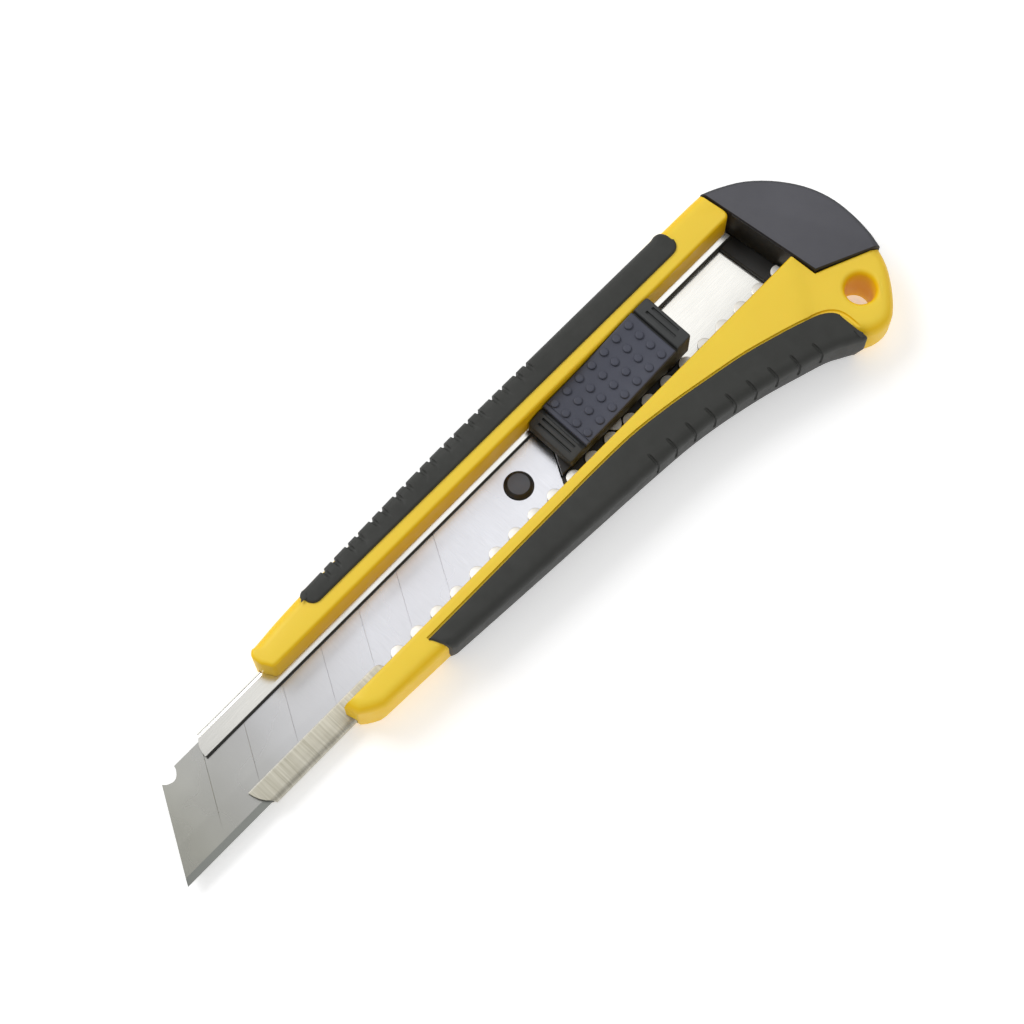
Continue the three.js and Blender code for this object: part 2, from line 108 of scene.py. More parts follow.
def spline(points, step=1.0):
    """A Catmull-Rom curve through points, in steps of about the given length."""
    ends = [points[0]] + list(points) + [points[-1]]
    out = [points[0]]
    for a, b, c, d in zip(ends, ends[1:], ends[2:], ends[3:]):
        count = max(1, round(math.dist(b, c) / step))
        for i in range(1, count + 1):
            t = i / count
            out.append(tuple(
                0.5 * (
                    2 * q + (r - p) * t + (2 * p - 5 * q + 4 * r - s) * t**2
                    + (3 * q - p - 3 * r + s) * t**3
                )
                for p, q, r, s in zip(a, b, c, d)
            ))
    return out


def quadratic(a, b, c, steps=8):
    """A curve from a to c that leaves and arrives towards b."""
    a, b, c = Vector(a), Vector(b), Vector(c)
    turns = [i / steps for i in range(steps + 1)]
    return [tuple(a * (1 - t) ** 2 + b * 2 * t * (1 - t) + c * t**2) for t in turns]


def height_along(curve, x):
    """The second value at x of a curve that runs along x."""
    for a, b in zip(curve, curve[1:]):
        if x <= b[0]:
            return a[1] + (b[1] - a[1]) * (x - a[0]) / (b[0] - a[0])
    return curve[-1][1]


def rounded(points, steps=6):
    """A polygon of (x, y, corner radius) with its corners rounded."""
    out = []
    count = len(points)
    for i, (x, y, radius) in enumerate(points):
        here = Vector((x, y))
        before = Vector(points[i - 1][:2]) - here
        after = Vector(points[(i + 1) % count][:2]) - here
        if radius <= 0:
            out.append((x, y))
            continue
        angle = before.angle(after)
        reach = min(radius / math.tan(angle / 2), 0.49 * before.length, 0.49 * after.length)
        start = here + before.normalized() * reach
        end = here + after.normalized() * reach
        for k in range(steps + 1):
            t = k / steps
            out.append(tuple(start * (1 - t) ** 2 + here * 2 * t * (1 - t) + end * t**2))
    return out


def dense(points, step):
    """A closed outline with long sides divided."""
    out = []
    for a, b in zip(points, points[1:] + points[:1]):
        count = max(1, math.ceil(math.dist(a, b) / step))
        for i in range(count):
            out.append((a[0] + (b[0] - a[0]) * i / count, a[1] + (b[1] - a[1]) * i / count))
    return out


def distinct(points):
    """An outline without the points that fall on their neighbours."""
    return [p for p, q in zip(points, points[1:] + points[:1]) if math.dist(p[:2], q[:2]) > 1e-4]


def area_of(points):
    """An outline's area, above 0 when it runs anticlockwise."""
    return sum(a[0] * b[1] - b[0] * a[1] for a, b in zip(points, points[1:] + points[:1])) / 2


def inside(x, y, ring):
    hit = False
    for (ax, ay), (bx, by) in zip(ring, ring[1:] + ring[:1]):
        if (ay > y) != (by > y) and x < ax + (y - ay) / (by - ay) * (bx - ax):
            hit = not hit
    return hit


def edged(points, top_radius, bottom_radius=None):
    """Plain points as outline points that share their radii."""
    low = top_radius if bottom_radius is None else bottom_radius
    return [(x, y, top_radius, low) for x, y in points]


def turned_round(outline):
    """The same outline the other way, with each edge keeping its radii."""
    back = outline[::-1]
    return [(*p[:2], *q[2:]) for p, q in zip(back, back[1:] + back[:1])]


# ---------------------------------------------------------------- meshes


def new_object(name, bm):
    mesh = bpy.data.meshes.new(name)
    bm.to_mesh(mesh)
    bm.free()
    mesh.update()
    obj = bpy.data.objects.new(name, mesh)
    bpy.context.scene.collection.objects.link(obj)
    return obj


def offset_at(before, here, after, first, second):
    """The step inwards from a corner whose two sides move in by first and second."""
    n = Vector((here[1] - before[1], before[0] - here[0])).normalized()
    m = Vector((after[1] - here[1], here[0] - after[0])).normalized()
    cosine = n.dot(m)
    if abs(first - second) < 1e-9 or cosine > 0.97:
        return -(n + m) / max(0.35, 1 + cosine) * (first + second) / 2
    # the step d has d.n = -first and d.m = -second
    scale = 1 - cosine * cosine
    return (-first + second * cosine) / scale * n + (-second + first * cosine) / scale * m


def plan_solid(name, outline, top, bottom=0.0, holes=(), grid=0.0, rings=6):
    """A closed solid over an outline of (x, y, top radius, bottom radius), where the radii round
    the edge from that point to the next. top and bottom are heights or functions of (x, y).
    Each hole is an outline of the same kind. With a grid, the faces follow curved heights."""
    top_of = top if callable(top) else (lambda x, y: top)
    bottom_of = bottom if callable(bottom) else (lambda x, y: bottom)
    loops = [outline if area_of(outline) > 0 else turned_round(outline)]
    loops += [hole if area_of(hole) < 0 else turned_round(hole) for hole in holes]
    bm = bmesh.new()
    caps = {"top": [], "bottom": []}
    for points in loops:
        points = distinct(points)
        stack = []
        for side in ("bottom", "top"):
            column = 3 if side == "bottom" else 2
            height_of = bottom_of if side == "bottom" else top_of
            sign = 1 if side == "bottom" else -1
            for k in range(rings + 1):
                angle = math.pi / 2 * (k if side == "bottom" else rings - k) / rings
                ring = []
                for i, here in enumerate(points):
                    before, after = points[i - 1], points[(i + 1) % len(points)]
                    radii = max(before[column], 1e-3), max(here[column], 1e-3)
                    share = 1 - math.sin(angle)
                    step = offset_at(before, here, after, radii[0] * share, radii[1] * share)
                    px, py = here[0] + step.x, here[1] + step.y
                    rise = sign * max(radii) * (1 - math.cos(angle))
                    ring.append(bm.verts.new((px, py, height_of(px, py) + rise)))
                stack.append(ring)
        caps["bottom"].append(stack[0])
        caps["top"].append(stack[-1])
        for lower_ring, upper_ring in zip(stack, stack[1:]):
            for i in range(len(points)):
                j = (i + 1) % len(points)
                bm.faces.new((lower_ring[i], lower_ring[j], upper_ring[j], upper_ring[i]))
    for side, height_of in (("bottom", bottom_of), ("top", top_of)):
        if not grid and len(loops) == 1:
            ring = caps[side][0]
            bm.faces.new(ring if side == "top" else ring[::-1])
        else:
            fill_cap(bm, caps[side], height_of, grid, side == "bottom")
    bmesh.ops.recalc_face_normals(bm, faces=bm.faces)
    return new_object(name, bm)


def fill_cap(bm, rings, height_of, grid, flip):
    """Fills the region inside the first ring and outside the others, on a grid of inner points."""
    rim = [v for ring in rings for v in ring]
    coords = [v.co.xy.copy() for v in rim]
    edges, start = [], 0
    for ring in rings:
        edges += [(start + i, start + (i + 1) % len(ring)) for i in range(len(ring))]
        start += len(ring)
    polygons = [[tuple(v.co.xy) for v in ring] for ring in rings]

    def within(x, y):
        return inside(x, y, polygons[0]) and not any(inside(x, y, ring) for ring in polygons[1:])

    if grid:
        rim_cells = {}
        for c in coords:
            rim_cells.setdefault((round(c.x / grid), round(c.y / grid)), []).append(c)
        span_x = [c.x for c in coords]
        span_y = [c.y for c in coords]
        for gx in range(int(min(span_x) / grid) - 1, int(max(span_x) / grid) + 2):
            for gy in range(int(min(span_y) / grid) - 1, int(max(span_y) / grid) + 2):
                p = Vector((gx * grid, (gy + 0.5 * (gx % 2)) * grid))
                cell = (round(p.x / grid), round(p.y / grid))
                around = [(cell[0] + i, cell[1] + j) for i in (-1, 0, 1) for j in (-1, 0, 1)]
                near = [c for key in around for c in rim_cells.get(key, [])]
                if within(*p) and all((p - c).length > grid * 0.5 for c in near):
                    coords.append(p)
    flat, _, faces, origin, _, _ = delaunay_2d_cdt(coords, edges, [], 0, 1e-6)
    made = {}
    for i, p in enumerate(flat):
        source = [k for k in origin[i] if k < len(rim)]
        made[i] = rim[source[0]] if source else bm.verts.new((p.x, p.y, height_of(p.x, p.y)))
    for face in faces:
        x = sum(flat[i].x for i in face) / len(face)
        y = sum(flat[i].y for i in face) / len(face)
        if within(x, y):
            corners = [made[i] for i in face]
            bm.faces.new(corners[::-1] if flip else corners)
    for v in [v for v in made.values() if v.is_valid and not v.link_faces]:
        bm.verts.remove(v)


def swept(name, section, stations):
    """A closed solid with one section, a list of (a, b), carried through stations: each is a
    function from (a, b) to a point."""
    bm = bmesh.new()
    rings = [[bm.verts.new(place(a, b)) for a, b in section] for place in stations]
    for first, second in zip(rings, rings[1:]):
        for i in range(len(section)):
            j = (i + 1) % len(section)
            bm.faces.new((first[i], first[j], second[j], second[i]))
    bm.faces.new(rings[0][::-1])
    bm.faces.new(rings[-1])
    bmesh.ops.recalc_face_normals(bm, faces=bm.faces)
    return new_object(name, bm)


def block(name, low, high, edge=0.2, steps=3):
    """A box between two corners, with its edges rounded."""
    bm = bmesh.new()
    bmesh.ops.create_cube(bm, size=1)
    for v in bm.verts:
        v.co = Vector([lo + (hi - lo) * (c + 0.5) for lo, hi, c in zip(low, high, v.co)])
    if edge:
        bmesh.ops.bevel(bm, geom=bm.edges[:], offset=edge, segments=steps, profile=0.5, affect="EDGES")
    return new_object(name, bm)


def turned(name, section, x, y, sides=48):
    """A solid of revolution about an upright axis, from (radius, z) points that start and end on it."""
    bm = bmesh.new()
    rings = []
    for radius, z in section:
        if radius < 1e-6:
            rings.append([bm.verts.new((x, y, z))])
            continue
        turns = [2 * math.pi * k / sides for k in range(sides)]
        rings.append([bm.verts.new((x + radius * math.cos(t), y + radius * math.sin(t), z)) for t in turns])
    for first, second in zip(rings, rings[1:]):
        for k in range(sides):
            j = (k + 1) % sides
            corners = [first[k % len(first)], first[j % len(first)]]
            corners += [second[j % len(second)], second[k % len(second)]]
            unique = list(dict.fromkeys(corners))
            if len(unique) > 2:
                bm.faces.new(unique)
    bmesh.ops.recalc_face_normals(bm, faces=bm.faces)
    return new_object(name, bm)


def apply_modifiers(obj):
    """Replaces a piece's mesh by what its modifiers make of it."""
    bpy.context.view_layer.update()
    shaped = obj.evaluated_get(bpy.context.evaluated_depsgraph_get())
    mesh = bpy.data.meshes.new_from_object(shaped)
    obj.modifiers.clear()
    old = obj.data
    obj.data = mesh
    bpy.data.meshes.remove(old)
    return obj


def boolean(obj, other, operation):
    """Combines a piece with another one, which is used up."""
    modifier = obj.modifiers.new("cut", "BOOLEAN")
    modifier.object = other
    modifier.operation = operation
    modifier.solver = "EXACT"
    apply_modifiers(obj)
    bpy.data.objects.remove(other)
    return obj


def cut(obj, other):
    return boolean(obj, other, "DIFFERENCE")


def join(obj, other):
    return boolean(obj, other, "UNION")


def refinish(obj, material, where):
    """Gives the faces that a test picks a second material."""
    obj.data.materials.append(material)
    for face in obj.data.polygons:
        if where(face):
            face.material_index = 1


def finish_piece(obj, body, nodes, material, sharp=32):
    """Moves a piece from the drawing frame into the row frame, shades it and puts it on its body."""
    obj.data.transform(Matrix.Scale(MM, 4) @ Matrix.Translation(TO_ROW))
    obj.data.polygons.foreach_set("use_smooth", [True] * len(obj.data.polygons))
    obj.data.set_sharp_from_angle(angle=math.radians(sharp))
    obj.data.materials.clear()
    obj.data.materials.append(material)
    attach(obj, body)
    if nodes:
        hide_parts(*nodes)
    return obj


# ---------------------------------------------------------------- materials


class Nodes:
    """A small helper for building a node material."""

    def __init__(self, name):
        self.material = bpy.data.materials.new(name)
        self.material.use_nodes = True
        self.tree = self.material.node_tree
        self.shader = self.tree.nodes["Principled BSDF"]
        self.texture = self.add("ShaderNodeTexCoord")
        self.place = self.texture.outputs["Object"]

    def add(self, kind, **values):
        node = self.tree.nodes.new(kind)
        for key, value in values.items():
            setattr(node, key, value)
        return node

    def link(self, a, b):
        self.tree.links.new(a, b)

    def noise(self, scale, detail=4.0, stretch=(1, 1, 1)):
        """Noise of about the given number of cells per metre, stretched along the axes."""
        mapping = self.add("ShaderNodeMapping")
        mapping.inputs["Scale"].default_value = stretch
        self.link(self.place, mapping.inputs["Vector"])
        noise = self.add("ShaderNodeTexNoise")
        noise.inputs["Scale"].default_value = scale
        noise.inputs["Detail"].default_value = detail
        self.link(mapping.outputs["Vector"], noise.inputs["Vector"])
        return noise.outputs["Fac"]

    def spread(self, value, low, high, start=0.3, end=0.7):
        """A value mapped to a range."""
        node = self.add("ShaderNodeMapRange")
        node.inputs["From Min"].default_value = start
        node.inputs["From Max"].default_value = end
        node.inputs["To Min"].default_value = low
        node.inputs["To Max"].default_value = high
        self.link(value, node.inputs["Value"])
        return node.outputs["Result"]

    def colours(self, value, stops):
        """A value turned into colours, from (position, colour) pairs."""
        ramp = self.add("ShaderNodeValToRGB")
        elements = ramp.color_ramp.elements
        while len(elements) < len(stops):
            elements.new(0.5)
        for element, (position, colour) in zip(elements, stops):
            element.position = position
            element.color = (*colour, 1)
        self.link(value, ramp.inputs["Fac"])
        return ramp.outputs["Color"]

    def part(self, kind, axis):
        """One axis of the place or the facing of a point, in the piece's own frame."""
        split = self.add("ShaderNodeSeparateXYZ")
        self.link(self.texture.outputs[kind], split.inputs["Vector"])
        return split.outputs[axis]

    def mix(self, value, low, high):
        """Goes from the low colour to the high one as the value goes from 0 to 1."""
        node = self.add("ShaderNodeMix", data_type="RGBA")
        self.link(value, node.inputs["Factor"])
        for socket, colour in ((node.inputs[6], low), (node.inputs[7], high)):
            if hasattr(colour, "links"):
                self.link(colour, socket)
            else:
                socket.default_value = (*colour, 1)
        return node.outputs[2]

    def product(self, a, b):
        node = self.add("ShaderNodeMath", operation="MULTIPLY")
        self.link(a, node.inputs[0])
        self.link(b, node.inputs[1])
        return node.outputs["Value"]

    def bump(self, value, strength, distance):
        node = self.add("ShaderNodeBump")
        node.inputs["Strength"].default_value = strength
        node.inputs["Distance"].default_value = distance
        self.link(value, node.inputs["Height"])
        return node.outputs["Normal"]

    def set(self, **sockets):
        """Links or sets the shader's sockets, and returns the material."""
        for key, value in sockets.items():
            socket = self.shader.inputs[key.replace("_", " ")]
            if hasattr(value, "links"):
                self.link(value, socket)
            else:
                socket.default_value = value
        return self.material


def shades(colour, variation, start, end):
    """Colour stops from a little darker than a colour to a little paler."""
    stops = ((start, 1 - variation), (end, 1 + variation))
    return [(place, tuple(min(1.0, c * factor) for c in colour)) for place, factor in stops]


MOULD_GRAIN = 0.00004  # how deep the mould's grain is
ROLLING_LINES = 0.000012
FACE_UP = (0.72, 0.97)  # a face goes from a side to a flat top between these slopes, for the painted light on tops and sides


def moulded(name, colour, roughness, grain=9000, variation=0.05, strength=0.35, side=None, **sockets):
    """Moulded plastic or rubber: a faint cloudiness and the fine grain of a spark-eroded mould.
    The sides may be given a colour of their own, with colour then kept for the flat top: this is painted
    light, standing in for the different light and sheen on tops and sides."""
    n = Nodes(name)
    cloud = n.noise(60, 3)
    fine = n.noise(grain, 2)
    tint = n.colours(cloud, shades(colour, variation, 0.3, 0.7))
    if side:
        # painted light: sides and flat tops get different colours by the way they face
        tint = n.mix(n.spread(n.part("Normal", "Z"), 0, 1, *FACE_UP), side, tint)
    return n.set(
        Base_Color=tint,
        Roughness=n.spread(n.noise(350, 5), roughness - 0.05, roughness + 0.06),
        Normal=n.bump(fine, strength, MOULD_GRAIN),
        **sockets,
    )


def bright_steel(name, colour, roughness, along=(1, 45, 45), scale=260, recolour=None):
    """Rolled or ground steel: fine lines, drawn out along the axis with the least stretch, and
    slow changes in tone. An optional function changes the colour and the roughness; the ones used here
    paint reflections into the colour."""
    n = Nodes(name)
    lines = n.noise(scale, 6, along)
    cloud = n.noise(45, 3)
    tint = n.colours(lines, shades(colour, 0.06, 0.25, 0.75))
    rough = n.spread(cloud, roughness - 0.05, roughness + 0.07)
    if recolour:
        tint, rough = recolour(n, tint, rough)
    return n.set(
        Base_Color=tint,
        Metallic=1.0,
        Roughness=rough,
        Normal=n.bump(lines, 0.3, ROLLING_LINES),
    )


def painted_tip_reflection(n, tint, rough):
    """Painted reflection: the blade's colour goes darker and greener towards its tip, for the dimmer
    reflection there.
    """
    x = n.part("Object", "X")
    tip = n.mix(n.spread(x, 0, 1, -0.084, -0.060), (0.41, 0.408, 0.365), (0.53, 0.53, 0.53))
    return n.mix(n.spread(x, 0, 1, -0.064, -0.034), tip, tint), rough


LIP_FRONT = (-0.037, -0.034)  # in the frame's metres, where the painted reflection on the lip's front ends
LIP_REFLECTION_Y = (0.0025, 0.0035)
STOPS = (0.0035, 0.004)
STOPS_FOOT = (0.003, 0.0034)


def lip_reflection_and_stops(n, tint, rough):
    """The lower lip is brushed, and its front is painted darker and browner: a painted reflection of the
    dim horizon and the yellow walls. Its stops are sheared and matt.
    """
    x, y = n.part("Object", "X"), n.part("Object", "Y")
    brushed = n.noise(900, 4, (3, 0.1, 0.1))
    # painted reflection: darker, browner colours for the lip's front
    front_reflection = n.colours(brushed, [(0.3, (0.42, 0.40, 0.325)), (0.7, (0.58, 0.56, 0.48))])
    front = n.product(n.spread(x, 1, 0, *LIP_FRONT), n.spread(y, 1, 0, *LIP_REFLECTION_Y))
    matt = n.product(n.spread(y, 1, 0, *STOPS), n.spread(n.part("Object", "Z"), 0, 1, *STOPS_FOOT))
    rougher = n.add("ShaderNodeMath", operation="MULTIPLY_ADD")
    n.link(matt, rougher.inputs[0])
    rougher.inputs[1].default_value = 0.3
    n.link(rough, rougher.inputs[2])
    return n.mix(front, tint, front_reflection), rougher.outputs["Value"]


# The flat top's paler, bluer yellow is a painted sheen of the bright overhead; the sides get the deeper,
# saturated yellow without it.
YELLOW = moulded(
    "yellow_abs", (1.0, 0.69, 0.056), 0.45, variation=0.02, strength=0.2, side=(0.97, 0.60, 0.004),
    Specular_IOR_Level=0.32, Subsurface_Weight=0.12, Subsurface_Radius=(0.002, 0.0012, 0.0003),
)
RUBBER = moulded("grip_rubber", (0.028, 0.029, 0.0255), 0.62, grain=7000, strength=0.5, variation=0.1)
# The cap's sides are painted near black against its grey top: painted shade.
CAP_PLASTIC = moulded(
    "cap_plastic", (0.092, 0.092, 0.106), 0.6, grain=6000, strength=0.6, variation=0.07,
    side=(0.02, 0.02, 0.024),
)
# painted sheen: the lighter, bluer colour kept on the pin's flat end
PEG_TOP_SHEEN = moulded("peg_top_painted_sheen", (0.085, 0.09, 0.108), 0.55)
NYLON = moulded("black_nylon", (0.012, 0.012, 0.012), 0.45, strength=0.25)
SLIDER_PLASTIC = moulded("slider_plastic", (0.036, 0.038, 0.038), 0.55, strength=0.4)
PAD_RUBBER = moulded("pad_rubber", (0.058, 0.062, 0.087), 0.6, grain=7000, strength=0.5, variation=0.08)
RAIL_STEEL = bright_steel("rail_steel", (0.82, 0.81, 0.77), 0.2, recolour=lip_reflection_and_stops)
BLADE_STEEL = bright_steel(
    "blade_steel", (0.73, 0.735, 0.775), 0.26, along=(45, 1, 45), scale=300, recolour=painted_tip_reflection,
)
# The ground bevel's finer lines and roughness are its own; its dark colour is a painted reflection of a
# dimmer part of the studio.
EDGE_STEEL = bright_steel("ground_edge_painted_reflection", (0.30, 0.31, 0.29), 0.34, along=(60, 2, 60), scale=400)
# painted shade: near-black steel for the upper lip's free edge
LIP_EDGE_SHADE_STEEL = bright_steel("lip_edge_painted_shade", (0.06, 0.06, 0.055), 0.5)
SPRING_STEEL = bright_steel("spring_steel", (0.35, 0.34, 0.31), 0.35)

# ---------------------------------------------------------------- handle
CAP_HIGH = (70.5, 15.5)
CAP_CORNER = (73.9, -13.2)
CAP_REAR = (94.0, -21.7)
FRONT_LOW = (-49.65, -9.3)
FRONT_HIGH = (-54.95, 8.6)
UPPER_SIDE = [(-52.6, 12.3), (-42, 13.05), (-15, 13.6), (20, 13.9), (52, 14.05), (67, 14)]
LOWER_SIDE = [
    (-44.6, -13.35), (-28, -14.0), (-3.6, -15.0), (21, -16.4), (35, -17.6), (49, -20.1),
    (59.3, -22.9), (69.4, -27.1),
]
END_ARC = [
    (67, 14), (71.1, 13.6), (74.8, 12.0), (78.7, 9.55), (82.4, 5.9), (85.3, 1.7), (87.0, -2.1),
    (87.9, -6), (88.05, -10), (87.7, -14), (86.9, -17.8), (85.15, -22.1), (82.45, -25.8),
    (79.6, -28.7), (77.2, -30.22), (74.6, -30.37), (71.8, -29.4), (69.4, -27.1),
]
SIDE_END = 13.9  # where the upper side meets the end cap's seam


def on_line(a, b, y):
    """The x of a slanted plan line at a given y."""
    return a[0] + (b[0] - a[0]) * (y - a[1]) / (b[1] - a[1])


def front_at(y):
    return on_line(FRONT_LOW, FRONT_HIGH, y)


def seam_at(y):
    """The x of the end cap's front face."""
    return on_line(CAP_HIGH, CAP_CORNER, y)


def beam_end(y):
    """The x where the handle's beams stop, short of the end cap."""
    return seam_at(y) - SEAM


def boundary_at(x):
    """The y of the joint between the end cap and the tail."""
    (ax, ay), (bx, by) = CAP_CORNER, CAP_REAR
    return ay + (by - ay) * (x - ax) / (bx - ax)


def upper_beam():
    turn = 1.2
    corner = arc(front_at(SLOT_HIGH) + 1.3, SLOT_HIGH + turn, turn, 190, 270, 5)
    rear = arc(beam_end(SLOT_HIGH + turn) - turn, SLOT_HIGH + turn, turn, 270, 360, 6)
    nose = quadratic(UPPER_SIDE[0], (-56.3, 12.2), FRONT_HIGH)
    outline = edged(corner[:-1], 0.9, 0.8) + [(*corner[-1], 0.75, 0.02)]
    outline += [(*p, 0.75, 0.02) for p in rear[:-1]] + [(*rear[-1], 0.3, 0.3)]
    outline += [(beam_end(SIDE_END), SIDE_END, 2.3, 2.3)]
    outline += edged([p for p in spline(UPPER_SIDE, 2.5)[::-1] if p[0] < 68], 2.3)
    outline += edged(nose[1:], 0.95, 0.95)
    return plan_solid("upper_beam", outline, BODY_TOP)


def tail_height(x, y):
    """The tail is thinner than the beams: its top dips along a soft crease."""
    along = (x - 68.6) * 0.8 - (y + 12.0) * 0.6
    t = min(1, max(0, along / 3.6))
    return BODY_TOP - (BODY_TOP - TAIL_TOP) * t * t * (3 - 2 * t)


def rim_crossing(gap):
    """Where the end arc crosses the joint between the cap and the tail, shifted by a gap."""
    ring = spline(END_ARC, 0.4)
    for a, b in zip(ring, ring[1:]):
        if b[1] < boundary_at(b[0]) + gap and a[0] > 80:
            return b
    return ring[-1]


def lower_beam():
    rim = rim_crossing(-SEAM)
    arc_low = [p for p in spline(END_ARC, 1.6) if p[1] < rim[1] - 1.5]
    nose = [(front_at(-10.6), -10.6), (-48.3, -11.4), (-47.3, -12.05), (-46.0, -12.75)]
    outline = edged(nose, 2.3, 2.0) + edged(spline(LOWER_SIDE, 2.0)[:-1], 2.3, 4.0)
    outline += edged(arc_low[::-1], 2.7, 3.2)
    outline.append((*rim, 0.4, 0.4))
    corner = (CAP_CORNER[0] - SEAM, CAP_CORNER[1] - SEAM)
    for i in range(1, 7):
        x = rim[0] + (corner[0] - rim[0]) * i / 7
        outline.append((x, boundary_at(x) - SEAM, 0.4, 0.4))
    outline.append((*corner, 0.25, 0.25))
    rear = arc(beam_end(SLOT_LOW - 0.5) - 0.5, SLOT_LOW - 0.5, 0.5, 0, 90, 4)
    outline += [(*p, 0.25, 0.25) for p in rear[:-1]] + [(*rear[-1], 0.3, 0.02)]
    outline.append((front_at(SLOT_LOW) + 0.05, SLOT_LOW, 2.3, 2.0))
    hole = edged(arc(HOLE[0], HOLE[1], HOLE[2], 0, 352.5, 47), 1.2, 0.05)
    return plan_solid("lower_beam", outline, tail_height, holes=[hole], grid=1.8)


# where the lower grip's inner edge runs, and the shallow moat beside it
GRIP_INNER = [
    (-30.4, -10.5), (-18, -10.5), (-4.6, -10.44), (6.9, -10.42), (14.6, -10.4), (24.5, -10.65),
    (31, -11.35), (37, -12.25), (41.9, -13.15), (48.8, -14.45), (53.7, -15.6), (60.6, -17.6),
    (65.5, -19.2),
]
LOWER_MOAT = [(x, y + 0.1) for x, y in spline(GRIP_INNER, 2.0)]
LOWER_MOAT += quadratic((66.4, -19.2), (70.9, -20.5), (71.15, -24), 7)
LOWER_MOAT += [(71.2, -27), (71.2, -29), (71.2, -32)]


def moat(points, radius):
    """A shallow groove in the handle's face along a path."""
    section = arc(0, BODY_TOP + 0.05, radius, 0, 330, 11)
    stations = []
    for i, (x, y) in enumerate(points):
        ahead, behind = points[min(len(points) - 1, i + 1)], points[max(0, i - 1)]
        along = Vector((ahead[0] - behind[0], ahead[1] - behind[1])).normalized()
        sink = tail_height(x, y) - BODY_TOP
        stations.append(lambda a, b, x=x, y=y, z=sink, t=along: (x - t.y * a, y + t.x * a, b + z))
    return swept("moat", section, stations)


def housing():
    """The two beams on a thin back wall, with the rail's channel cut along them."""
    body = lower_beam()
    body.name = "housing_shell"
    join(body, upper_beam())
    cut(body, moat(LOWER_MOAT, 0.45))
    wall = [(front_at(-9), -9), (beam_end(-9), -9), (beam_end(7.5), 7.5), (front_at(7.5), 7.5)]
    wall_edges = [0.3, 0.3, 0.3, 0.6]
    plate = plan_solid("back_wall", [(*p, e, e) for p, e in zip(wall, wall_edges)], BACK_WALL)
    join(body, plate)
    channel = block("channel", (-90, -10.1, BACK_WALL), (90, 10.1, RAIL_TOP + 0.1), edge=0)
    return cut(body, channel)


# ---------------------------------------------------------------- grips
UPPER_GRIP_SIDE = [(-41, 13.2), (-18, 14), (0, 14.42), (28, 14.37), (60, 14.2)]
LOWER_GRIP_SIDE = [
    (-31, -14.8), (-3.6, -16.6), (21.6, -18.15), (35.4, -19.45), (49.2, -22.2), (59.5, -25.15),
    (64.6, -26.8), (67, -28.05), (71, -30.3),
]
LOWER_CORE = [
    (-60, -11.4), (-3.6, -12.9), (21, -14.4), (35, -15.7), (49, -18), (59.3, -20.9), (68, -24.5),
    (68, 0), (-60, 0),
]
UPPER_RIBS = [-34.4 + 6.62 * i + offset for i in range(9) for offset in (0, 2.75)]
LOWER_RIBS = [23.8 + 4.75 * i for i in range(9)]
# a groove's path over the edge of a grip, as steps out from its side and up from its top
UPPER_RIB_PATH = [(-2.6, 0.55), (-1.3, -0.15), (-0.45, -0.65), (-0.05, -1.7), (-0.05, -8.5), (1.2, -9.6)]
LOWER_RIB_PATH = [
    (-3.0, 0.4), (-2.3, -0.02), (-1.3, -0.14), (-0.6, -0.55), (-0.04, -1.6), (-0.04, -5.0), (1.0, -5.8),
]


def rib_groove(x, side, outward, path, radius):
    """A round-bottomed groove down a grip's side and a little way onto its top."""
    section = arc(0, 0, radius, 0, 330, 11)
    path = [(side + outward * dy, GRIP_TOP + dz) for dy, dz in path]
    stations = []
    for (y, z), (dy, dz) in zip(path, directions(path)):
        stations.append(lambda a, b, y=y, z=z, dy=dy, dz=dz: (x + a, y - dz * b, z + dy * b))
    return swept("groove", section, stations)


def directions(path):
    """The unit direction of a path at each of its points."""
    out = []
    for i in range(len(path)):
        step = Vector(path[min(len(path) - 1, i + 1)]) - Vector(path[max(0, i - 1)])
        out.append(tuple(step.normalized()))
    return out


def cut_ribs(grip, places, side_points, outward, path, radius):
    side = spline(side_points, 0.5)
    for x in places:
        cut(grip, rib_groove(x, height_along(side, x), outward, path, radius))


def upper_grip():
    side = [p for p in spline(UPPER_GRIP_SIDE, 1.0) if -39.3 < p[0] < 57.4]
    rear = quadratic((57.2, 8.9), (59.3, 8.9), (59.7, 10.9), 6)
    rear += quadratic((59.7, 11.2), (59.8, 14.2), (57.6, 14.25), 6)
    front = quadratic((-39.6, 13.3), (-41.2, 13.0), (-41.1, 12.0), 6)
    front += quadratic((-40.9, 11.2), (-40.4, 9.5), (-39.0, 9.3), 6)
    outline = edged(rear[:7], 0.5, 0.3) + edged(rear[7:], 1.3, 1.0) + edged(side[::-1], 2.0, 1.8)
    outline += edged(front[:7], 1.3, 1.0) + edged(front[7:], 0.5, 0.3)
    outline += [(x, 9.3 - 0.4 * (x + 38.4) / 95.6, 0.5, 0.3) for x in range(-36, 57, 4)]
    grip = plan_solid("upper_grip_skin", outline, GRIP_TOP, grid=1.5)
    cut(grip, block("core", (-70, -5, 0.9), (90, 11.8, 11.4), edge=0))
    cut_ribs(grip, UPPER_RIBS, UPPER_GRIP_SIDE, 1, UPPER_RIB_PATH, 0.5)
    return grip


def lower_grip_height(x, y):
    """The grip's face follows the beam and falls a little where the tail begins."""
    t = min(1, max(0, (x - 60) / 14))
    return GRIP_TOP - 0.5 * t * t * (3 - 2 * t)


def taper(obj, height, run):
    """Leans the side below a height inwards, by run at the foot."""
    bm = bmesh.new()
    bm.from_mesh(obj.data)
    everything = bm.verts[:] + bm.edges[:] + bm.faces[:]
    bmesh.ops.bisect_plane(bm, geom=everything, plane_co=(0, 0, height), plane_no=(0, 0, 1))
    for v in bm.verts:
        v.co.y += run * max(0, 1 - v.co.z / height)
    bm.to_mesh(obj.data)
    bm.free()


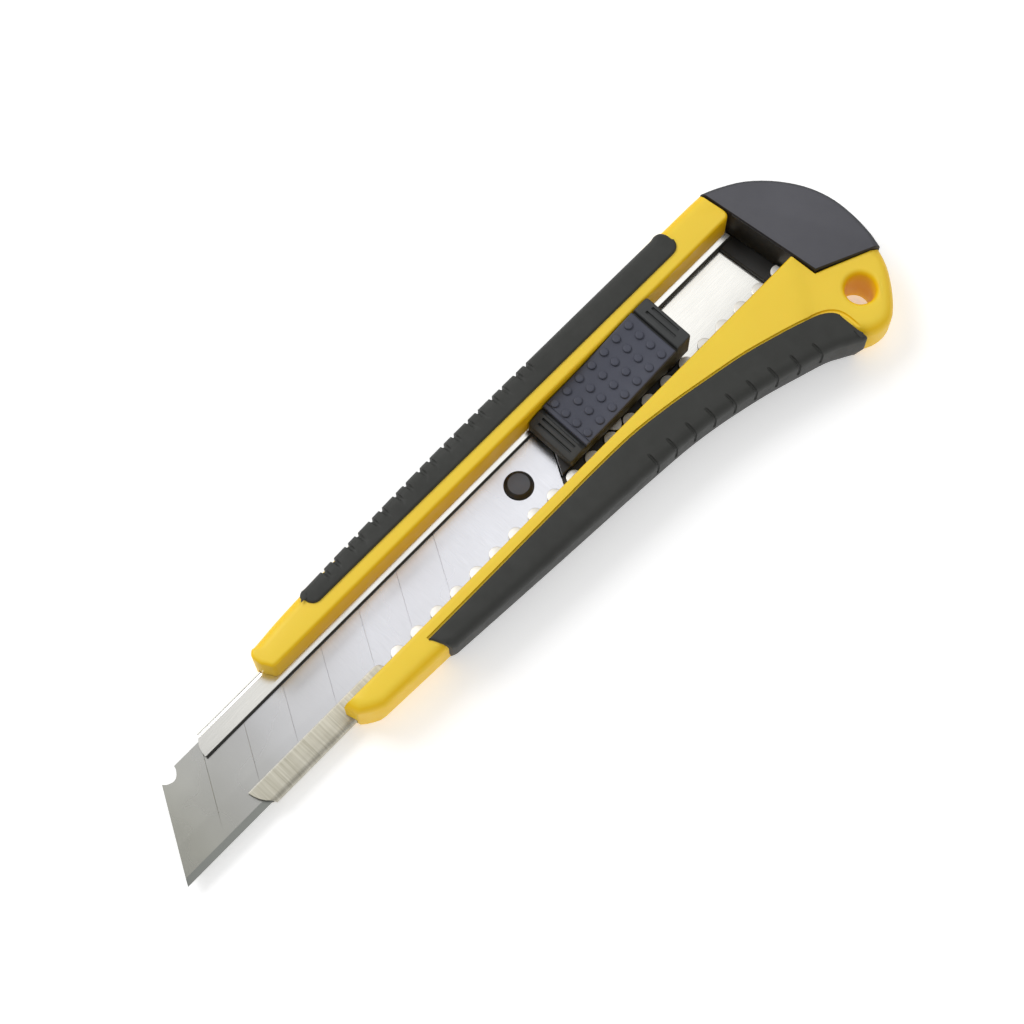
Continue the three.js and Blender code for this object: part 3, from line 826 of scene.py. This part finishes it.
def lower_grip():
    side = [p for p in spline(LOWER_GRIP_SIDE, 1.0) if -27.6 < p[0] < 68.8]
    front = quadratic(GRIP_INNER[0], (-29.6, -12.0), (-28.4, -14.6), 5)
    inner = spline(GRIP_INNER, 2.0)
    heel = quadratic(GRIP_INNER[-1], (70.1, -20.6), (70.35, -23.4), 8)
    toe = quadratic((70.6, -28.5), (70.95, -30.4), (69.4, -29.4), 7)
    outline = edged(front[:-1], 0.5, 0.4) + [(*front[-1], 2.0, 1.8)] + edged(side, 2.0, 1.8)
    outline += edged(toe[::-1], 1.3, 1.2) + edged(heel[::-1][:-1], 0.5, 0.4)
    outline += edged(inner[::-1][:-1], 0.5, 0.4)
    grip = plan_solid("lower_grip_skin", outline, lower_grip_height, grid=1.6)
    taper(grip, 6.0, 1.5)

    def core_top(x, y):
        return lower_grip_height(x, y) - 1.2

    cut(grip, plan_solid("core", edged(LOWER_CORE, 0.02), core_top, 0.9, grid=3))
    cut_ribs(grip, LOWER_RIBS, LOWER_GRIP_SIDE, -1, LOWER_RIB_PATH, 0.34)
    return grip


# ---------------------------------------------------------------- end cap
def end_cap():
    rim = rim_crossing(0)
    ring = [p for p in spline(END_ARC, 1.6) if p[1] > rim[1] + 1.5 and p[0] > seam_at(p[1]) + 1.5]
    outline = [(*CAP_CORNER, 0.25, 0.25), (*rim, 1.5, 1.4)] + edged(ring[::-1], 1.5, 1.4)
    outline.append((seam_at(13.85), 13.85, 0.25, 0.25))
    return plan_solid("cap_shell", outline, BODY_TOP)


def tongue():
    """The cap's black inner part, a plate that reaches under the rail, and above it a thin black sheet laid
    over the cap's front face, which is painted shade.
    """
    reach = [(67.4, 8.6), (68.9, -8.6), (73.0, -8.6), (71.0, 8.6)]
    plate = plan_solid("cap_tongue", edged(reach, 0.2), 3.5, 2.35)
    # painted shade: a thin black sheet over the cap's front face, from the plate up to near the top
    high, low = SLOT_HIGH - 0.1, SLOT_LOW + 0.1
    corners = ((-0.12, high), (-0.12, low), (0.4, low), (0.4, high))
    wall = [(seam_at(y) + shift, y) for shift, y in corners]
    return join(plate, plan_solid("cap_wall_painted_shade", edged(wall, 0.03), 11.5, 3.0))


# ---------------------------------------------------------------- rail
def rail_section():
    """The rail's bent sheet, as (y, z) points. Its lower lip is only a stub, which the lock lip meets."""
    w, t, bend = RAIL_HALF, SHEET, RAIL_BEND
    outer = [(w - bend, RAIL_BOTTOM)] + arc(w - bend, RAIL_BOTTOM + bend, bend, 270, 360, 6)[1:]
    outer += arc(w - bend, RAIL_TOP - bend, bend, 0, 90, 6)
    drops = [(1.6, 0.12), (0.4, 0.2), (0.05, 0.45), (0, 0.7), (0.1, t + 0.2)]
    lip = [(LIP_EDGE + back, RAIL_TOP - drop) for back, drop in drops]
    small = bend - t
    inner = arc(w - bend, RAIL_TOP - bend, small, 90, 0, 4)
    inner += arc(w - bend, RAIL_BOTTOM + bend, small, 360, 270, 4)
    high = outer + lip + inner
    stub = 8.3
    low_lip = [(stub, RAIL_TOP), (stub, RAIL_TOP - t)]
    low = [(-y, z) for y, z in outer + low_lip + inner]
    return high + low[::-1]


def rail():
    section = rail_section()
    places = [(lambda a, b, x=x: (x, a, b)) for x in (-75.0, 75.0)]
    channel = swept("rail_channel", section, places)
    centre = -LIP_EDGE - TAB_RADIUS
    lip = [(-76.0, -9.0), (76.0, -9.0), (76.0, TAB_ROOT)]
    for i in range(TAB_COUNT - 1, -2, -1):
        x = TAB_FIRST + i * TAB_PITCH
        lip.append((x + TAB_RADIUS, TAB_ROOT))
        lip += arc(x, centre, TAB_RADIUS, 0, 180 if i >= 0 else 90, 12 if i >= 0 else 6)
        if i >= 0:
            lip.append((x - TAB_RADIUS, TAB_ROOT))
    lip.append((-76.0, -LIP_EDGE))
    clear = 0.004
    top, bottom = RAIL_TOP - clear, RAIL_TOP - SHEET + clear
    join(channel, plan_solid("lock_lip", edged(lip, 0.09, 0.06), top, bottom, rings=3))
    high = quadratic((-73.6, 5.6), (-73.55, 7.7), (-72.1, 9.0), 6)
    low = quadratic((-72.95, -5.2), (-72.5, -8.2), (-70.5, -9.5), 8)
    shape = [(73.1, -11), (70.1, 11), (-71.3, 11)] + high[::-1] + low + [(-70.2, -11)]
    return boolean(channel, plan_solid("rail_plan", edged(shape, 0.01), 20, -5, rings=1), "INTERSECT")


def paint_lip_edge_shade(obj):
    """The upper lip's free edge is painted near black: painted shade for the shadowed gap between the lip
    and the blade.
    """
    edge = (TO_ROW.y + LIP_EDGE) * MM
    refinish(obj, LIP_EDGE_SHADE_STEEL, lambda f: abs(f.center.y - edge) < 0.5 * MM and f.normal.y < -0.5)


# ---------------------------------------------------------------- blade
def blade_x(edge_x, y):
    """A point on a line at the snap angle that meets the cutting edge at edge_x."""
    return edge_x + (y + BLADE_WIDTH / 2) * SNAP_SLOPE


def blade():
    half = BLADE_WIDTH / 2
    mid = BLADE_BOTTOM + BLADE_THICKNESS / 2
    flat = BLADE_THICKNESS / 2
    face = [(half, flat), (-half + 6.5, flat), (-half + GRIND, 0.17), (-half, 0.012)]
    section = [(y + BLADE_SHIFT, mid + z) for y, z in face]
    section += [(y + BLADE_SHIFT, mid - z) for y, z in face[::-1]]
    body = swept("blade_strip", section, [(lambda a, b, x=x: (x, a, b)) for x in (BLADE_TIP - 3, 30.0)])
    rear = BLADE_TIP + BLADE_LENGTH
    corner = BLADE_TIP + BLADE_WIDTH * SNAP_SLOPE
    plan = [(BLADE_TIP, -half), (rear, -half), (blade_x(rear, 5.5), 5.5), (rear + 7.0, 9.4)]
    plan.append((corner + 3.55, 9.4))
    plan += quadratic((corner + 3.3, 8.4), (corner + 2.3, 6.6), (corner + 1.0, 7.0), 7)
    plan += quadratic((corner + 0.6, 7.15), (corner - 0.1, 7.4), (blade_x(BLADE_TIP, 8.1), 8.1), 5)
    outline = edged([(x, y + BLADE_SHIFT) for x, y in plan], 0.01)
    hole = edged(arc(PEG_X, 0, PEG_RADIUS + 0.15, 0, 352.5, 47), 0.01)
    boolean(body, plan_solid("blade_plan", outline, 20, -5, holes=[hole], rings=1), "INTERSECT")
    top = BLADE_BOTTOM + BLADE_THICKNESS
    groove = [(-0.13, top + 0.05), (0, top - 0.06), (0.13, top + 0.05)]
    for i in range(SCORE_LINES):
        start = BLADE_TIP + (i + 1) * SEGMENT
        ends = []
        for y in (-half - 1, half + 1):
            ends.append(lambda a, b, x=blade_x(start, y), y=y: (x + a, y + BLADE_SHIFT, b))
        cut(body, swept("score", groove, ends))
    return body


def darken_edge(obj):
    """Gives the ground bevel of the cutting edge its own lines and roughness, and a darker colour that is a
    painted reflection.
    """
    limit = (TO_ROW.y + BLADE_SHIFT - BLADE_WIDTH / 2 + GRIND + 0.02) * MM
    refinish(obj, EDGE_STEEL, lambda f: f.center.y < limit and 0.05 < abs(f.normal.y) < 0.6)


# ---------------------------------------------------------------- carrier, lock spring, slider


def carrier():
    """Flat under the rail's lips, with a neck between them and a boss inside the slider."""
    start = BLADE_TIP + BLADE_LENGTH + 0.3

    def front(y):
        return (blade_x(start, y - BLADE_SHIFT), y)

    low, high = -CARRIER_HALF, CARRIER_HALF
    base = [front(low), (CARRIER_REAR, low), (CARRIER_REAR, high), front(high)]
    flange = plan_solid("carrier_body", edged(base, 0.12), UNDER, 2.3)
    neck = [front(-4.9), (15.5, -4.9), (16.2, -4.0), (41.6, -4.0), (41.8, -5.3), (43.4, -5.3)]
    neck += [(43.6, -4.0), (CARRIER_REAR, -3.4), (CARRIER_REAR, 4.9), front(4.9)]
    join(flange, plan_solid("neck", edged(neck, 0.2, 0.05), NECK_TOP, 2.5))
    join(flange, block("blade_seat", (-1, -4.4, 2.31), (24, 4.4, 2.8), edge=0.1, steps=1))
    join(flange, block("boss", (BOSS[0], BOSS[2], 4.5), (BOSS[1], BOSS[3], BOSS[4]), edge=0.3))
    return flange


def peg():
    section = [(0, 2.6), (2.0, 2.6), (PEG_RADIUS, 2.6), (PEG_RADIUS, 3.6), (2.75, 3.95), (2.3, 4.55)]
    section += [(2.15, 4.62), (0, 4.65)]
    return turned("blade_peg", section, PEG_X, 0)


def darken_sides(obj):
    """The pin's flat end keeps a lighter, bluer grey, which is a painted sheen, and its sides are as black
    as the carrier.
    """
    refinish(obj, NYLON, lambda f: f.normal.z < 0.97)


def lock_spring():
    """A leaf on edge, whose V tooth stands between two lock tabs."""
    tooth = TAB_FIRST + 11.5 * TAB_PITCH
    front, rear, low, high, bottom, top = LEAF
    strip = [(front, high), (front, low), (tooth - 1.9, low)]
    strip += quadratic((tooth - 1.7, low), (tooth, -8.0), (tooth + 1.7, low), 10)
    strip += [(tooth + 1.9, low), (rear - 1.2, low), (rear - 1.1, -5.05), (rear, -5.05), (rear, high)]
    return plan_solid("lock_leaf", edged(strip, 0.06), top - 0.5, bottom)


# the pad's rise towards the rear, as (x, z)
PAD_RISE = [(PAD_FRONT, 9.65), (20.5, 9.8), (27.3, 10.2), (34, 11.3), (38, 12.1), (PAD_REAR, SLIDER[5])]
PAD_CURVE = spline(PAD_RISE, 0.4)
PAD_SINK = 1.25  # how far the slider's face lies below the pad's
DOT_ROWS, DOT_COLUMNS = 7, 4
DOT_FIRST = (19.9, 4.95)
DOT_PITCH = (3.42, -2.86)
DOT_SECTION = [(0, -0.5), (0.84, -0.5), (0.84, 0.26), (0.8, 0.36), (0.7, 0.42), (0.4, 0.43), (0, 0.43)]


def slider_height(x, y):
    """The slider's face: a slope up to the pad's front, and the pad's seat behind it."""
    front = SLIDER[0]
    if x < PAD_FRONT:
        return 7.9 + (9.55 - 7.9) * max(0, x - front) / (PAD_FRONT - front)
    return height_along(PAD_CURVE, x) - PAD_SINK


def thumb_slider():
    front, rear, low, high, bottom, top = SLIDER
    seat_end = PAD_REAR + 1.3
    outline = rounded([(front, low, 0.8), (seat_end, low, 0), (seat_end, high, 0), (front, high, 0.8)], 5)
    body = plan_solid("slider_body", edged(dense(outline, 1.2), 0.35, 0.2), slider_height, bottom, grid=1.0)
    inner, side = PAD_REAR + 0.6, 0.04
    wall = rounded([
        (inner, low - side, 0), (rear, low - side, 0.6), (rear, high + side, 0.6), (inner, high + side, 0),
    ], 5)
    join(body, plan_solid("slider_wall", edged(wall, 0.4, 0.1), top, bottom + side))
    for i in range(3):
        x = front + 1.15 + i * 1.15
        z = slider_height(x, 0)
        corners = (x, low + 1.5, z - 0.55), (x + 0.5, high - 1.5, z + 2)
        cut(body, block("rib_gap", *corners, edge=0.12, steps=2))
    for i in range(2):
        x = PAD_REAR + 1.75 + i * 1.35
        corners = (x, low + 1.9 + 0.5 * i, top - 0.5), (x + 0.6, high - 1.9 - 0.3 * i, top + 2)
        cut(body, block("wall_gap", *corners, edge=0.14, steps=2))
    left, right, near, far, boss_top = BOSS
    corners = (left - 1.2, near - 0.3, 4), (right + 1.2, far + 0.3, boss_top + 0.3)
    return cut(body, block("pocket", *corners, edge=0))


def slider_pad():
    low, high = SLIDER[2], SLIDER[3]
    outline = dense([(PAD_FRONT, low), (PAD_REAR, low), (PAD_REAR, high), (PAD_FRONT, high)], 0.6)

    def top(x, y):
        sag = 0.18 * (1 - ((y - (low + high) / 2) / 5.5) ** 2)
        return height_along(PAD_CURVE, x) - sag

    def bottom(x, y):
        return height_along(PAD_CURVE, x) - 1.2

    pad = plan_solid("thumb_pad", edged(outline, 0.25, 0.1), top, bottom, grid=0.6, rings=4)
    for i in range(DOT_ROWS):
        for j in range(DOT_COLUMNS):
            x, y = DOT_FIRST[0] + DOT_PITCH[0] * i, DOT_FIRST[1] + DOT_PITCH[1] * j
            z = top(x, y)
            join(pad, turned("dot", [(radius, z + rise) for radius, rise in DOT_SECTION], x, y, 20))
    x = PAD_FRONT + 0.75
    line = (x, low - 1, height_along(PAD_CURVE, x) - 0.3), (x + 0.25, high + 1, 14)
    return cut(pad, block("line", *line, edge=0))


# ---------------------------------------------------------------- assembly
finish_piece(housing(), "handle", ["housing"], YELLOW)
finish_piece(upper_grip(), "handle", ["grip_upper"], RUBBER)
finish_piece(lower_grip(), "handle", ["grip_lower"], RUBBER)
paint_lip_edge_shade(finish_piece(rail(), "handle", ["rail"], RAIL_STEEL))
blade_strip = finish_piece(blade(), "carriage", ["blade"], BLADE_STEEL, sharp=0.4)
darken_edge(blade_strip)
finish_piece(carrier(), "carriage", ["blade_carrier"], NYLON)
darken_sides(finish_piece(peg(), "carriage", [], PEG_TOP_SHEEN))
finish_piece(lock_spring(), "carriage", ["lock_spring"], SPRING_STEEL)
finish_piece(thumb_slider(), "thumb", ["thumb_slider"], SLIDER_PLASTIC, sharp=20)
finish_piece(slider_pad(), "thumb", ["slider_pad"], PAD_RUBBER)
finish_piece(end_cap(), "cap", ["end_cap"], CAP_PLASTIC)
finish_piece(tongue(), "cap", [], NYLON)

# ---------------------------------------------------------------- floor, light and camera
FLOOR_HALF = 3.0  # lengths from here on are in metres
FLOOR_DROP = 0.0002
CAMERA_TILT = 17.55  # degrees
CAMERA_HEADING = -44.84
CAMERA_ROLL = -1.56
CAMERA_TARGET = Vector((-0.01, -2.69, 3.4))  # in the drawing frame
CAMERA_DISTANCE = 0.4857
CAMERA_LENS = 89.43
SKY_SIDES = 0.5
SKY_BRIGHT = 1.25
KEY_PLACE = (-0.1414, 0.6363, 0.75)
KEY_POWER = 4.2


def floor():
    bm = bmesh.new()
    signs = ((-1, -1), (1, -1), (1, 1), (-1, 1))
    corners = [(FLOOR_HALF * i, FLOOR_HALF * j, -FLOOR_DROP) for i, j in signs]
    bm.faces.new([bm.verts.new(corner) for corner in corners])
    obj = new_object("floor", bm)
    obj.data.materials.append(Nodes("floor").set(
        Base_Color=(0.9, 0.9, 0.9, 1),
        Roughness=0.8,
        Emission_Color=(1, 1, 1, 1),
        Emission_Strength=0.4,
    ))


def key_light():
    """A square softbox above the knife, towards the far left."""
    light = bpy.data.lights.new("key", "AREA")
    light.shape = "RECTANGLE"
    light.size, light.size_y = 0.5, 0.5
    light.energy = KEY_POWER
    obj = bpy.data.objects.new("key", light)
    bpy.context.scene.collection.objects.link(obj)
    obj.location = KEY_PLACE
    obj.rotation_euler = (-Vector(KEY_PLACE)).to_track_quat("-Z", "Y").to_euler()


def camera():
    """Above the knife, tilted, with the knife running up to the right across the view."""
    target = (CAMERA_TARGET + TO_ROW) * MM
    turns = ((CAMERA_HEADING, "Z"), (CAMERA_TILT, "X"), (CAMERA_ROLL, "Z"))
    heading, tilt, roll = [Matrix.Rotation(math.radians(angle), 4, axis) for angle, axis in turns]
    data = bpy.data.cameras.new("camera")
    data.sensor_width = 36
    data.lens = CAMERA_LENS
    data.clip_start = 0.01
    obj = bpy.data.objects.new("camera", data)
    bpy.context.scene.collection.objects.link(obj)
    back = Matrix.Translation((0, 0, CAMERA_DISTANCE))
    obj.matrix_world = Matrix.Translation(target) @ (heading @ tilt @ roll) @ back
    bpy.context.scene.camera = obj


def fill_sky(tree):
    """A pale studio whose bright ceiling ends over the front and to one side of the knife."""

    def ramp(value, start, end, low=0.0, high=1.0):
        node = tree.nodes.new("ShaderNodeMapRange")
        node.interpolation_type = "SMOOTHSTEP"
        for name, number in (("From Min", start), ("From Max", end), ("To Min", low), ("To Max", high)):
            node.inputs[name].default_value = number
        tree.links.new(value, node.inputs["Value"])
        return node.outputs["Result"]

    def times(a, b):
        node = tree.nodes.new("ShaderNodeMath")
        node.operation = "MULTIPLY"
        tree.links.new(a, node.inputs[0])
        if hasattr(b, "links"):
            tree.links.new(b, node.inputs[1])
        else:
            node.inputs[1].default_value = b
        return node.outputs["Value"]

    place = tree.nodes.new("ShaderNodeTexCoord")
    split = tree.nodes.new("ShaderNodeSeparateXYZ")
    tree.links.new(place.outputs["Generated"], split.inputs["Vector"])
    side = ramp(split.outputs["X"], -0.06, 0.18, 0.2)
    front = ramp(split.outputs["Y"], 0.4, 0.27, 0.5)
    lit = times(times(side, front), SKY_BRIGHT)
    mix = tree.nodes.new("ShaderNodeMix")
    tree.links.new(ramp(split.outputs["Z"], 0.7, 0.86), mix.inputs["Factor"])
    mix.inputs["A"].default_value = SKY_SIDES
    tree.links.new(lit, mix.inputs["B"])
    background = tree.nodes["Background"]
    background.inputs["Color"].default_value = (1, 1, 1, 1)
    tree.links.new(mix.outputs["Result"], background.inputs["Strength"])


floor()
camera()
key_light()
world = bpy.data.worlds.new("studio")
world.use_nodes = True
fill_sky(world.node_tree)
bpy.context.scene.world = world
bpy.context.scene.view_settings.view_transform = "Standard"
